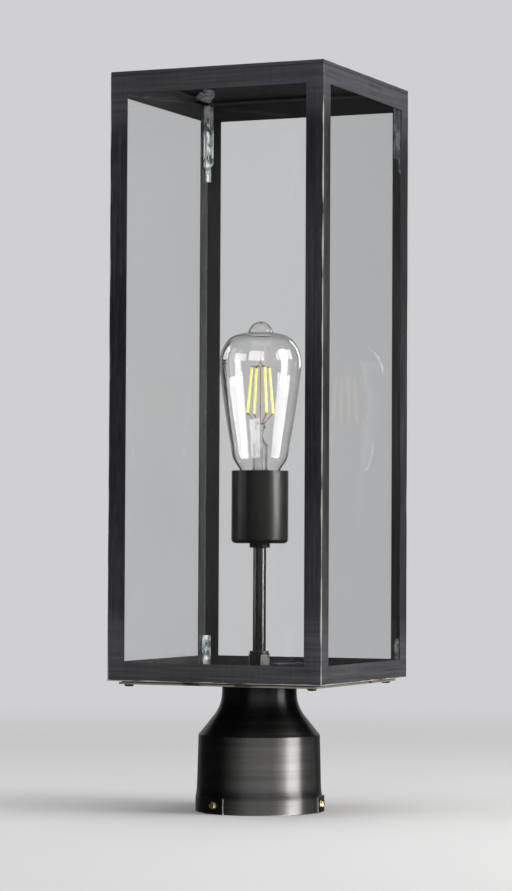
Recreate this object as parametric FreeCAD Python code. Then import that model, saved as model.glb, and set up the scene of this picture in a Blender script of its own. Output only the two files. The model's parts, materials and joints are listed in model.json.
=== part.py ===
import FreeCAD, Part

import math
import os

# Post top lantern: a square glazed cage of mitred steel angle that lifts off a base plate,
# one filament bulb in a cup on a slim stem, and a cast fitter that slips over a round post.
# Millimetres, +Z up. The origin is the centre of the fitter's foot, on the post's axis.

V = FreeCAD.Vector
UP = V(0, 0, 1)

# ---- cage ----
cage_width = 177.0              # square outside, across two opposite faces
angle_height = 464.0            # bottom of the lower rails to top of the upper rails
angle_leg = 14.3                # face width of every angle
angle_thickness = 1.2
roof_edge = 3.0                 # height of the folded rim round the roof
roof_sheet = 1.2
rim_wall = 1.2
glass_thickness = 2.4
glass_clearance = 0.25          # pane to angle, all round
mitre_reach = 1.5               # mitre cutters, as a share of angle_leg
upper_bead_length = 62.0
lower_bead_length = 27.0
bead_leg = 4.5                  # width of a sealant fillet on each pane
bead_hollow = 0.36              # middle of its hollow face, as a share of bead_leg
gusset_leg = 24.0
gusset_thickness = 2.0

# ---- base plate and its screws ----
plate_inset = 6.0               # plate edge behind the cage's outer faces
plate_thickness = 1.5
plate_corner = 3.0
gasket_inset = 8.5
gasket_width = 12.0
gasket_thickness = 1.1
screw_from_face = 12.7          # screw centre to each outer face of its corner
base_screw_radius = 2.0
base_screw_tip = 1.5            # tip standing out above the gusset
base_head_radius = 3.5
base_head_height = 1.8
base_head_crown = 0.7           # height of the domed part of the head
base_head_flat = 2.1            # radius of the flat in the middle of the dome
drive_slot_width = 0.9
drive_slot_depth = 0.8
drive_slot_reach = 2.17         # half the length of each arm of the cross
base_hole_clearance = 0.25
thread_clearance = 0.05         # running clearance of every threaded fit

# ---- post fitter ----
fitter_height = 99.6
neck_radius = 29.0
flare_top = 92.5                # height where the neck starts to flare
flare_radius = 30.0
flare_angle = 40.0              # degrees from vertical at the end of the flare
shoulder_radius = 47.2
shoulder_round = 1.5
skirt_radius = 48.2             # just above the foot band
foot_radius = 49.3
foot_band = 11.0
foot_blend = 9.0
post_bore_radius = 44.0
post_depth = 50.0               # how far the post goes in before the ledge
ledge_width = 4.5
casting_wall = 4.0
web_thickness = 5.0
boss_face = 50.0                # flat of a screw boss, from the axis
boss_width = 20.4
boss_height = 12.8
set_screw_count = 3
set_screw_first = -111.0        # degrees from +X
boss_root = 1.0                 # how far a boss reaches into the bore's wall before the bore is cleared
set_screw_height = 7.0
set_screw_radius = 3.0
set_screw_length = 8.0
set_screw_slot = 1.2            # depth of the slot
set_screw_slot_turn = 35.0
set_screw_chamfer = 0.6

# ---- stem ----
pipe_radius = 5.1
pipe_bore = 3.6
pipe_clearance = 0.05
nipple_drop = 12.0              # nipple below the fitter's web
nipple_rise = 9.5               # nipple inside the coupler
lock_washer_radius = 9.5
lock_washer_thickness = 1.4
lock_nut_flats = 17.0
lock_nut_height = 5.0
bushing_radius = 6.6
bushing_lip = 2.0
bushing_length = 6.0
bushing_bore = 2.8
coupler_flats = 15.6
coupler_height = 20.9
nut_chamfer = 0.6               # slope of the cone that turns a nut's corners off
coupler_chamfer = 1.2
lock_ring_radius = 7.45
lock_ring_height = 2.1
lock_ring_chamfer = 0.4
stem_gap = 0.5                  # between nipple and stem inside the coupler
stem_length = 102.0             # coupler's inner stop to the top inside the cup

# ---- lampholder ----
cup_ring_radius = 8.0
cup_ring_height = 3.4
cup_ring_round = 0.5
cup_radius = 22.15
cup_height = 56.6
cup_wall = 1.0
cup_round = 3.5
stem_in_cup = 5.4               # stem's end above the cup's underside
cup_nut_flats = 14.0
cup_nut_height = 3.2
bracket_radius = 13.0
bracket_thickness = 1.4
bracket_width = 12.0
bracket_ear_height = 9.0
bracket_overlap = 2.0           # ear's foot over the round part of the strap
holder_radius = 18.6
holder_rim_radius = 20.2
holder_rim_height = 5.0
holder_height = 43.0
holder_floor = 14.4
wire_room = 1.0                 # holder's lower bore, round the stem's end
contact_radius = 4.5
contact_width = 7.2
contact_thickness = 0.8
contact_rise = 3.4
shell_clearance = 0.1           # screw shell to bulb cap
shell_wall = 0.4
shell_height = 27.0
terminal_radius = 2.2
terminal_length = 3.0

# ---- bulb ----
bulb_cap_radius = 13.1
bulb_cap_length = 22.5
bulb_cap_wall = 0.5
insulator_height = 3.4
insulator_inset = 1.0           # its edge inside the cap
insulator_step = 0.8
button_radius = 4.7
button_height = 1.0
bulb_glass_wall = 0.8
bulb_glass_height = 123.0       # cap rim to the tip of the sealing pip
bulb_radius = 32.0
bulb_side = 90.0                # cap rim to the widest point
bulb_crown = 23.9               # widest point to the foot of the pip
# outline of the glass: radius as a share of bulb_radius, with the height as a share of bulb_side,
# then of bulb_crown, then both as shares of the pip's own width and height
pear_points = [(0.40, 0.0), (0.488, 0.0756), (0.653, 0.1733), (0.728, 0.3156), (0.838, 0.5367), (0.96, 0.8489),
               (1.0, 1.0)]
crown_points = [(0.915, 0.5146), (0.72, 0.8452), (0.50, 0.9623), (0.31, 1.0)]
pip_points = [(0.86, 0.4), (0.55, 0.8), (0.0, 1.0)]
bulb_seat_gap = 0.05
mount_neck_gap = 0.1            # glass foot to the inside of the neck
mount_skirt_height = 7.0        # flared part of the foot
mount_radius = 5.6              # its tube
mount_wall = 0.7
mount_tube_height = 25.0
mount_press_height = 30.0       # where the tube is pinched shut
mount_stalk_radius = 2.4        # pump tube, inside the foot and above the pinch
mount_bead_height = 40.0
mount_bead_radius = 3.6
filament_count = 4
filament_length = 36.0
filament_radius = 1.1
filament_turn = 49.0            # direction of the first stick, degrees from +X
filament_top_spread = 7.6       # from the axis
filament_foot_spread = 11.0
filament_foot = 51.0            # above the cap rim
wire_radius = 0.35
hook_height = 99.0              # top of the centre support wire, above the cap rim
stay_rise = 1.6                 # glass hub above the stick tops, where their upper wires meet
hub_radius = 2.3
hub_half_height = 1.7
hub_end_radius = 0.9

beyond = 1.0                    # how far a cutting tool runs past what it cuts
near = 0.1                      # reach for finding an edge by its place

# ---- heights that follow from the sizes above ----
plate_bottom = fitter_height
plate_top = plate_bottom + plate_thickness
cage_bottom = plate_top + gasket_thickness
angle_top = cage_bottom + angle_height
cage_top = angle_top + roof_edge
half = cage_width / 2
web_bottom = fitter_height - web_thickness
coupler_top = plate_top + coupler_height
stem_bottom = plate_top + nipple_rise + stem_gap
stem_top = stem_bottom + stem_length
cup_bottom = stem_top - stem_in_cup
cup_floor = cup_bottom + cup_wall
bracket_bottom = cup_floor + cup_nut_height
holder_bottom = bracket_bottom + bracket_thickness
holder_top = holder_bottom + holder_height
shell_bottom = holder_bottom + holder_floor
contact_top = shell_bottom + contact_rise
button_bottom = contact_top + bulb_seat_gap
cap_bottom = button_bottom + button_height + insulator_height
cap_rim = cap_bottom + bulb_cap_length


# ---- small tools ----

def cylinder(radius, height, at=V(0, 0, 0), axis=UP):
    return Part.makeCylinder(radius, height, at, axis)


def tube(outer, inner, height, bottom):
    return cylinder(outer, height, V(0, 0, bottom)).cut(bored(inner, bottom, bottom + height))


def bored(radius, low, high, x=0, y=0):
    """Round cutting tool through everything between two heights."""
    return cylinder(radius, high - low + 2 * beyond, V(x, y, low - beyond))


def box(low, high):
    return Part.makeBox(high[0] - low[0], high[1] - low[1], high[2] - low[2], V(*low))


def prism(points, direction):
    return Part.Face(Part.makePolygon(points + [points[0]])).extrude(direction)


def hexagon(flats, height, bottom, bore, chamfer):
    """Hexagonal nut with its corners turned off by a cone at each end."""
    side = flats / math.sqrt(3)
    points = [V(side * math.cos(math.radians(60 * i)), side * math.sin(math.radians(60 * i)), bottom)
              for i in range(6)]
    nut = prism(points, V(0, 0, height))
    flat = flats / 2
    drop = (side - flat) * chamfer
    top = bottom + height
    turned = [(0, bottom), (flat, bottom), (side, bottom + drop), (side, top - drop), (flat, top), (0, top)]
    return nut.common(revolve(lines(turned, closed=True))).cut(bored(bore, bottom, top))


def at_rz(point):
    return V(point[0], 0, point[1])


def lines(points, closed=False):
    """Straight edges through (radius, height) points in the XZ plane."""
    ends = points[1:] + ([points[0]] if closed else [])
    starts = points if closed else points[:-1]
    return [Part.LineSegment(at_rz(a), at_rz(b)).toShape() for a, b in zip(starts, ends)]


def arc(start, middle, end):
    return Part.Arc(at_rz(start), at_rz(middle), at_rz(end)).toShape()


def revolve(edges):
    return Part.Face(Part.Wire(edges)).revolve(V(0, 0, 0), UP, 360)


def rims(shape, radius):
    """Circular edges round the outside of a turned piece."""
    return [e for e in shape.Edges if abs(e.BoundBox.XMax - radius) < near and e.BoundBox.ZLength < near]


def save(name, *solids):
    shape = solids[0] if len(solids) == 1 else Part.makeCompound(list(solids))
    shape.exportStep("parts/" + name + ".step")
    count = len(shape.Solids)
    print(f"{name:22s} solids {count} volume {shape.Volume:10.1f} valid {shape.isValid()}")


# ---- cage: every angle is cut at 45 degrees where three of them meet ----

corner_signs = [(-1, -1), (1, -1), (1, 1), (-1, 1)]
corner_names = ["front_left", "front_right", "back_right", "back_left"]
side_names = ["front", "right", "back", "left"]


def angle_bar(length):
    """Angle along X, its outer corner on the X axis, legs running to +Y and +Z."""
    upright = box((0, 0, 0), (length, angle_thickness, angle_leg))
    flat = box((0, 0, 0), (length, angle_leg, angle_thickness))
    return upright.fuse(flat).removeSplitter()


def mitre_cutters(length):
    """Prisms that take away what belongs to the two other angles of each corner."""
    reach = angle_leg * mitre_reach
    cutters = []
    for end, inward in ((0, beyond), (length, -beyond)):
        outside = end - inward
        far = end + math.copysign(reach, inward)
        beside_y = [V(outside, 0, -beyond), V(outside, reach, -beyond), V(far, reach, -beyond), V(end, 0, -beyond)]
        beside_z = [V(outside, -beyond, 0), V(outside, -beyond, reach), V(far, -beyond, reach), V(end, -beyond, 0)]
        cutters.append(prism(beside_y, V(0, 0, reach)))
        cutters.append(prism(beside_z, V(0, reach, 0)))
    return cutters


def mitred_angle(length):
    bar = angle_bar(length)
    for cutter in mitre_cutters(length):
        bar = bar.cut(cutter)
    return bar


def placed(shape, along, leg_a, leg_b, corner):
    """Turns a bar along X so that it runs along one direction with its legs on the two others."""
    matrix = FreeCAD.Matrix(along.x, leg_a.x, leg_b.x, corner.x,
                            along.y, leg_a.y, leg_b.y, corner.y,
                            along.z, leg_a.z, leg_b.z, corner.z,
                            0, 0, 0, 1)
    return shape.transformGeometry(matrix) if matrix.determinant() < 0 else shape.transformShape(matrix, True)


def base_screw_centres():
    reach = half - screw_from_face
    return [(sx * reach, sy * reach) for sx, sy in corner_signs]


def holes_for_base_screws(shape, radius, bottom, top):
    for x, y in base_screw_centres():
        shape = shape.cut(bored(radius, bottom, top, x, y))
    return shape


def post(index):
    sx, sy = corner_signs[index]
    legs = [V(-sx, 0, 0), V(0, -sy, 0)]
    if sx != sy:
        legs.reverse()
    return placed(mitred_angle(angle_height), UP, *legs, V(sx * half, sy * half, cage_bottom))


def rail(index, lower):
    """One horizontal rail. Its first corner and its direction go round the cage anticlockwise."""
    sx, sy = corner_signs[index]
    turn = math.radians(90 * index)
    along = V(round(math.cos(turn)), round(math.sin(turn)), 0)
    inward = V(-along.y, along.x, 0)
    level = cage_bottom if lower else angle_top
    corner = V(sx * half, sy * half, level)
    bar = mitred_angle(cage_width)
    if lower:
        bar = placed(bar, along, inward, UP, corner)
        hole = base_screw_radius + base_hole_clearance
        return holes_for_base_screws(bar, hole, level, level + angle_thickness)
    far = corner + along * cage_width
    return placed(bar, along * -1, inward, UP * -1, far)


def roof_plate():
    sheet = box((-half, -half, angle_top), (half, half, cage_top))
    inner = half - rim_wall
    return sheet.cut(box((-inner, -inner, angle_top - beyond), (inner, inner, cage_top - roof_sheet)))


def pane_levels():
    low = cage_bottom + angle_thickness + glass_clearance
    high = angle_top - angle_thickness - glass_clearance
    return low, high


def pane(index):
    """Front and back panes run the full width; the side panes stand between them."""
    low, high = pane_levels()
    face = half - angle_thickness - glass_clearance
    inner = face - glass_thickness
    full = index % 2 == 0
    reach = face if full else inner - glass_clearance
    glass = box((-reach, -face, low), (reach, -inner, high))
    glass.rotate(V(0, 0, 0), UP, 90 * index)
    return glass


def corner_bead(index, low, high):
    """Hollow-faced fillet of sealant in the corner between two panes."""
    sx, sy = corner_signs[index]
    edge = half - angle_thickness - glass_clearance - glass_thickness
    corner = V(sx * edge, sy * edge, low)
    on_x = corner + V(-sx * bead_leg, 0, 0)
    on_y = corner + V(0, -sy * bead_leg, 0)
    middle = corner + V(-sx, -sy, 0) * (bead_leg * bead_hollow)
    outline = Part.Wire([Part.LineSegment(corner, on_x).toShape(), Part.Arc(on_x, middle, on_y).toShape(),
                         Part.LineSegment(on_y, corner).toShape()])
    return Part.Face(outline).extrude(V(0, 0, high - low))


def corner_beads(lower):
    low, high = pane_levels()
    if lower:
        bottom = low + gusset_thickness
        span = (bottom, bottom + lower_bead_length)
    else:
        span = (high - upper_bead_length, high)
    return [corner_bead(index, *span) for index in range(4)]


def gusset(index):
    """Tapped corner plate on the lower rails' flat legs."""
    sx, sy = corner_signs[index]
    edge = half - angle_thickness - 2 * glass_clearance - glass_thickness
    low = cage_bottom + angle_thickness
    corner = V(sx * edge, sy * edge, low)
    plate = prism([corner, corner + V(-sx * gusset_leg, 0, 0), corner + V(0, -sy * gusset_leg, 0)],
                  V(0, 0, gusset_thickness))
    x, y = base_screw_centres()[index]
    return plate.cut(bored(base_screw_radius + thread_clearance, low, low + gusset_thickness, x, y))


# ---- base plate, gasket, screws ----

def rounded_square(reach, radius, bottom, height):
    block = box((-reach, -reach, bottom), (reach, reach, bottom + height))
    upright = [e for e in block.Edges if abs(e.Vertexes[0].Z - e.Vertexes[1].Z) > height / 2]
    return block.makeFillet(radius, upright)


def base_plate():
    plate = rounded_square(half - plate_inset, plate_corner, plate_bottom, plate_thickness)
    plate = plate.cut(bored(pipe_radius + pipe_clearance, plate_bottom, plate_top))
    return holes_for_base_screws(plate, base_screw_radius + base_hole_clearance, plate_bottom, plate_top)


def base_gasket():
    outer = half - gasket_inset
    inner = outer - gasket_width
    ring = box((-outer, -outer, plate_top), (outer, outer, cage_bottom))
    ring = ring.cut(box((-inner, -inner, plate_top - beyond), (inner, inner, cage_bottom + beyond)))
    return holes_for_base_screws(ring, base_screw_radius + base_hole_clearance, plate_top, cage_bottom)


def base_screw(index):
    """Pan-head screw, driven upwards through the plate, gasket and rail into the gusset."""
    x, y = base_screw_centres()[index]
    tip = cage_bottom + angle_thickness + gusset_thickness + base_screw_tip
    shank = cylinder(base_screw_radius, tip - plate_bottom, V(0, 0, plate_bottom))
    crown = plate_bottom - base_head_height
    rim = crown + base_head_crown
    turn = math.radians(45)
    dome_middle = (base_head_flat + (base_head_radius - base_head_flat) * math.sin(turn),
                   crown + base_head_crown * (1 - math.cos(turn)))
    head = revolve(lines([(0, crown), (base_head_flat, crown)])
                   + [arc((base_head_flat, crown), dome_middle, (base_head_radius, rim))]
                   + lines([(base_head_radius, rim), (base_head_radius, plate_bottom), (0, plate_bottom),
                            (0, crown)]))
    screw = head.fuse(shank).removeSplitter()
    thin = drive_slot_width / 2
    for along, across in ((drive_slot_reach, thin), (thin, drive_slot_reach)):
        screw = screw.cut(box((-along, -across, crown - beyond), (along, across, crown + drive_slot_depth)))
    screw.translate(V(x, y, 0))
    return screw


# ---- post fitter ----

def fitter_outline():
    turn = math.radians(flare_angle)
    flare_r = neck_radius + flare_radius * (1 - math.cos(turn))
    flare_z = flare_top - flare_radius * math.sin(turn)
    mid_r = neck_radius + flare_radius * (1 - math.cos(turn / 2))
    mid_z = flare_top - flare_radius * math.sin(turn / 2)
    shoulder_z = flare_z - (shoulder_radius - flare_r) / math.tan(turn)
    blend_top = foot_band + foot_blend
    blend_middle = ((skirt_radius + foot_radius) / 2, foot_band + foot_blend / 2)
    ledge = post_bore_radius - ledge_width
    return (lines([(neck_radius, fitter_height), (neck_radius, flare_top)])
            + [arc((neck_radius, flare_top), (mid_r, mid_z), (flare_r, flare_z))]
            + lines([(flare_r, flare_z), (shoulder_radius, shoulder_z), (skirt_radius, blend_top), blend_middle,
                     (foot_radius, foot_band), (foot_radius, 0), (post_bore_radius, 0),
                     (post_bore_radius, post_depth), (ledge, post_depth), (ledge, shoulder_z - casting_wall),
                     (flare_r - casting_wall, flare_z - casting_wall / 2),
                     (neck_radius - casting_wall, flare_top - casting_wall),
                     (neck_radius - casting_wall, web_bottom), (pipe_radius + pipe_clearance, web_bottom),
                     (pipe_radius + pipe_clearance, fitter_height), (neck_radius, fitter_height)]))


def set_screw_angles():
    return [set_screw_first + 360 / set_screw_count * i for i in range(set_screw_count)]


def fitter():
    body = revolve(fitter_outline())
    body = body.makeFillet(shoulder_round, rims(body, shoulder_radius))
    keep_out = bored(post_bore_radius, 0, boss_height)
    for angle in set_screw_angles():
        boss = box((post_bore_radius - boss_root, -boss_width / 2, 0), (boss_face, boss_width / 2, boss_height))
        boss.rotate(V(0, 0, 0), UP, angle)
        body = body.fuse(boss.cut(keep_out))
    for angle in set_screw_angles():
        hole = cylinder(set_screw_radius + thread_clearance, boss_face, V(boss_face / 2, 0, set_screw_height),
                        V(1, 0, 0))
        hole.rotate(V(0, 0, 0), UP, angle)
        body = body.cut(hole)
    return body.removeSplitter()


def set_screw(angle):
    """Headless slotted screw; at rest its tip is flush with the post bore."""
    start = V(post_bore_radius, 0, set_screw_height)
    screw = cylinder(set_screw_radius, set_screw_length, start, V(1, 0, 0))
    end = post_bore_radius + set_screw_length
    thin = drive_slot_width / 2
    slot = box((end - set_screw_slot, -set_screw_radius - beyond, set_screw_height - thin),
               (end + beyond, set_screw_radius + beyond, set_screw_height + thin))
    slot.rotate(start, V(1, 0, 0), set_screw_slot_turn)
    screw = screw.cut(slot)
    tip = [e for e in screw.Edges if e.BoundBox.XLength < near and abs(e.BoundBox.XMin - post_bore_radius) < near]
    screw = screw.makeChamfer(set_screw_chamfer, tip)
    screw.rotate(V(0, 0, 0), UP, angle)
    return screw


# ---- stem: nipple, nuts, coupler and tube ----

def nipple():
    bottom = web_bottom - nipple_drop
    return tube(pipe_radius, pipe_bore, plate_top + nipple_rise - bottom, bottom)


def lock_washer():
    return tube(lock_washer_radius, pipe_radius + pipe_clearance, lock_washer_thickness,
                web_bottom - lock_washer_thickness)


def lock_nut():
    bottom = web_bottom - lock_washer_thickness - lock_nut_height
    return hexagon(lock_nut_flats, lock_nut_height, bottom, pipe_radius + pipe_clearance, nut_chamfer)


def wire_bushing():
    """Plastic bushing in the nipple's lower end, where the supply wires come in."""
    end = web_bottom - nipple_drop
    lip = tube(bushing_radius, bushing_bore, bushing_lip, end - bushing_lip)
    plug = tube(pipe_bore - pipe_clearance, bushing_bore, bushing_length, end)
    return lip.fuse(plug).removeSplitter()


def stem_coupler():
    return hexagon(coupler_flats, coupler_height, plate_top, pipe_radius + pipe_clearance, coupler_chamfer)


def stem_lock_ring():
    ring = tube(lock_ring_radius, pipe_radius + pipe_clearance, lock_ring_height, coupler_top)
    return ring.makeChamfer(lock_ring_chamfer, rims(ring, lock_ring_radius))


def stem_tube():
    return tube(pipe_radius, pipe_bore, stem_length, stem_bottom)


# ---- lampholder ----

def cup_ring():
    ring = tube(cup_ring_radius, pipe_radius + pipe_clearance, cup_ring_height, cup_bottom - cup_ring_height)
    return ring.makeFillet(cup_ring_round, rims(ring, cup_ring_radius))


def socket_cup():
    """Spun cup with a rolled bottom edge, open at the top."""
    top = cup_bottom + cup_height
    bend = math.sqrt(0.5)
    outer = cup_radius - cup_round
    inner = cup_round - cup_wall
    turn_z = cup_bottom + cup_round
    hole = pipe_radius + pipe_clearance
    edges = lines([(hole, cup_floor), (hole, cup_bottom), (outer, cup_bottom)])
    edges += [arc((outer, cup_bottom), (outer + cup_round * bend, turn_z - cup_round * bend), (cup_radius, turn_z))]
    edges += lines([(cup_radius, turn_z), (cup_radius, top), (cup_radius - cup_wall, top),
                    (cup_radius - cup_wall, turn_z)])
    edges += [arc((cup_radius - cup_wall, turn_z), (outer + inner * bend, turn_z - inner * bend), (outer, cup_floor))]
    edges += lines([(outer, cup_floor), (hole, cup_floor)])
    return revolve(edges)


def cup_nut():
    return hexagon(cup_nut_flats, cup_nut_height, cup_floor, pipe_radius + pipe_clearance, nut_chamfer)


def holder_bracket():
    """Steel strap on the stem, its two ears let into the holder's sides."""
    wide = bracket_width / 2
    strap = cylinder(bracket_radius, bracket_thickness, V(0, 0, bracket_bottom))
    top = bracket_bottom + bracket_thickness + bracket_ear_height
    for sign in (-1, 1):
        outside = sign * (holder_radius + bracket_thickness)
        foot = sorted((sign * (bracket_radius - bracket_overlap), outside))
        side = sorted((sign * holder_radius, outside))
        strap = strap.fuse(box((foot[0], -wide, bracket_bottom), (foot[1], wide, bracket_bottom + bracket_thickness)))
        strap = strap.fuse(box((side[0], -wide, bracket_bottom), (side[1], wide, top)))
    strap = strap.cut(bored(pipe_radius + pipe_clearance, bracket_bottom, bracket_bottom + bracket_thickness))
    return strap.removeSplitter()


def holder_body():
    """Porcelain insulator with a stepped rim and a deep bore for the screw shell."""
    bore = bulb_cap_radius + shell_clearance + shell_wall + pipe_clearance
    rim = holder_top - holder_rim_height
    body = cylinder(holder_radius, holder_height, V(0, 0, holder_bottom))
    body = body.fuse(cylinder(holder_rim_radius, holder_rim_height, V(0, 0, rim)))
    body = body.cut(cylinder(bore, holder_height, V(0, 0, shell_bottom)))
    socket_height = holder_floor - terminal_length
    body = body.cut(cylinder(pipe_radius + wire_room, socket_height, V(0, 0, holder_bottom)))
    return body.removeSplitter()


def screw_shell():
    inner = bulb_cap_radius + shell_clearance
    return tube(inner + shell_wall, inner, shell_height, shell_bottom)


def centre_contact():
    """Sprung tongue: a foot on the holder's floor, a riser and a pad under the bulb's button."""
    wide = contact_width / 2
    low = shell_bottom
    pad = cylinder(contact_radius, contact_thickness, V(0, 0, contact_top - contact_thickness))
    foot = box((-contact_radius, -wide, low), (contact_radius, wide, low + contact_thickness))
    riser = box((-contact_radius, -wide, low), (-contact_radius + contact_thickness, wide, contact_top))
    return pad.fuse(foot).fuse(riser).removeSplitter()


def terminal_screws():
    """Two wire terminals on the holder's lower side, across from the bracket's ears."""
    level = holder_bottom + holder_floor / 2
    screws = []
    for sign in (-1, 1):
        screws.append(cylinder(terminal_radius, holder_rim_radius - holder_radius, V(0, sign * holder_radius, level),
                               V(0, sign, 0)))
    return screws


# ---- bulb ----

def curve_through(points, start, finish):
    """Smooth curve through (radius, height) points, with its direction given at both ends."""
    curve = Part.BSplineCurve()
    curve.interpolate([at_rz(p) for p in points], InitialTangent=at_rz(start), FinalTangent=at_rz(finish))
    return curve.toShape()


def envelope_edges(inset):
    """Pear outline, flat-topped crown and sealing pip, all drawn in by inset."""
    side = [(r * bulb_radius - inset, cap_rim + z * bulb_side) for r, z in pear_points]
    rim_r, rim_z = side[-1]
    crown = [(r * bulb_radius - inset, rim_z + z * (bulb_crown - inset)) for r, z in crown_points]
    foot_r, foot_z = crown[-1]
    tip = cap_rim + bulb_glass_height - inset
    pip = [(foot_r * r, foot_z + (tip - foot_z) * z) for r, z in pip_points]
    edges = [curve_through(side, (0.3, 1), (0, 1)),
             curve_through([(rim_r, rim_z)] + crown, (0, 1), (-1, 0.06)),
             curve_through([(foot_r, foot_z)] + pip, (-0.35, 1), (-1, 0))]
    return edges, side[0], pip[-1]


def bulb_envelope():
    """Blown glass shell, open at the neck where the cap holds it."""
    outer, outer_foot, outer_tip = envelope_edges(0)
    inner, inner_foot, inner_tip = envelope_edges(bulb_glass_wall)
    closing = lines([outer_tip, inner_tip]) + lines([inner_foot, outer_foot])
    return revolve(Part.sortEdges(outer + inner + closing)[0])


def bulb_cap():
    inner = bulb_cap_radius - bulb_cap_wall
    return tube(bulb_cap_radius, inner, bulb_cap_length, cap_bottom)


def bulb_insulator():
    top = cap_bottom
    low = button_bottom + button_height
    edge = bulb_cap_radius - insulator_inset
    return revolve(lines([(0, low), (button_radius, low), (edge, top - insulator_step),
                          (edge, top), (0, top)], closed=True))


def bulb_button():
    return cylinder(button_radius, button_height, V(0, 0, button_bottom))


def bulb_mount():
    """Glass foot: a flared tube pinched shut at its top, the pump tube in it, and the bead for the wires."""
    edge = pear_points[0][0] * bulb_radius - bulb_glass_wall - mount_neck_gap
    skirt = cap_rim + mount_skirt_height
    shoulder = cap_rim + mount_tube_height
    press = cap_rim + mount_press_height
    bead = cap_rim + mount_bead_height
    inner = mount_radius - mount_wall
    outside = lines([(edge, cap_rim), (edge, cap_rim + mount_wall), (mount_radius, skirt), (mount_radius, shoulder),
                     (mount_stalk_radius, press), (mount_stalk_radius, bead), (0, bead)])
    inside = lines([(0, bead), (0, cap_rim), (mount_stalk_radius, cap_rim), (mount_stalk_radius, shoulder),
                    (inner, shoulder - mount_wall), (inner, skirt), (edge - mount_wall, cap_rim), (edge, cap_rim)])
    return revolve(outside + inside).fuse(Part.makeSphere(mount_bead_radius, V(0, 0, bead))).removeSplitter()


def filament_ends(index):
    turn = math.radians(360 / filament_count * index + filament_turn)
    out = V(math.cos(turn), math.sin(turn), 0)
    foot = out * filament_foot_spread + V(0, 0, cap_rim + filament_foot)
    run = filament_foot_spread - filament_top_spread
    rise = math.sqrt(filament_length ** 2 - run ** 2)
    top = out * filament_top_spread + V(0, 0, cap_rim + filament_foot + rise)
    return foot, top


def filaments():
    sticks = []
    for index in range(filament_count):
        foot, top = filament_ends(index)
        sticks.append(cylinder(filament_radius, filament_length, foot, top - foot))
    return sticks


def rod(start, end, radius):
    return cylinder(radius, (end - start).Length, start, end - start)


def support_hub():
    """Flat glass bead on the centre wire, which holds the wires to the stick tops."""
    level = filament_ends(0)[1].z + stay_rise
    low = level - hub_half_height
    high = level + hub_half_height
    return revolve(lines([(0, low), (hub_end_radius, low)])
                   + [arc((hub_end_radius, low), (hub_radius, level), (hub_end_radius, high))]
                   + lines([(hub_end_radius, high), (0, high), (0, low)]))


def bulb_wires():
    """Centre support wire, a lead from the bead to the foot of each stick, and a wire to each top."""
    bead = V(0, 0, cap_rim + mount_bead_height)
    wires = rod(bead, V(0, 0, cap_rim + hook_height), wire_radius)
    for index in range(filament_count):
        foot, top = filament_ends(index)
        out = V(foot.x, foot.y, 0)
        out.normalize()
        wires = wires.fuse(rod(bead + out * mount_bead_radius, foot, wire_radius))
        wires = wires.fuse(rod(V(0, 0, top.z + stay_rise), top, wire_radius))
    for piece in filaments() + [bulb_mount(), support_hub()]:
        wires = wires.cut(piece)
    return wires.removeSplitter()


# ---- write every piece ----

os.makedirs("parts", exist_ok=True)

save("fitter", fitter())
for number, turn in enumerate(set_screw_angles(), 1):
    save(f"set_screw_{number}", set_screw(turn))
save("base_plate", base_plate())
save("base_gasket", base_gasket())
for number in range(4):
    save(f"base_screw_{number + 1}", base_screw(number))

save("nipple", nipple())
save("lock_washer", lock_washer())
save("lock_nut", lock_nut())
save("wire_bushing", wire_bushing())
save("stem_coupler", stem_coupler())
save("stem_lock_ring", stem_lock_ring())
save("stem_tube", stem_tube())

save("cup_ring", cup_ring())
save("socket_cup", socket_cup())
save("cup_nut", cup_nut())
save("holder_bracket", holder_bracket())
save("holder_body", holder_body())
save("screw_shell", screw_shell())
save("centre_contact", centre_contact())
save("terminal_screws", *terminal_screws())

save("bulb_envelope", bulb_envelope())
save("bulb_cap", bulb_cap())
save("bulb_insulator", bulb_insulator())
save("bulb_button", bulb_button())
save("bulb_mount", bulb_mount())
save("support_hub", support_hub())
save("filaments", *filaments())
save("bulb_wires", *bulb_wires().Solids)

for number, corner_name in enumerate(corner_names):
    save(f"post_{corner_name}", post(number))
for number, side_name in enumerate(side_names):
    save(f"bottom_rail_{side_name}", rail(number, True))
    save(f"top_rail_{side_name}", rail(number, False))
    save(f"pane_{side_name}", pane(number))
save("roof_plate", roof_plate())
save("corner_gussets", *[gusset(number) for number in range(4)])
save("upper_beads", *corner_beads(False))
save("lower_beads", *corner_beads(True))
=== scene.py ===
import json
from math import cos, hypot, pi, radians, sin, sqrt
import bpy
from mathutils import Matrix, Vector, noise

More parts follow.
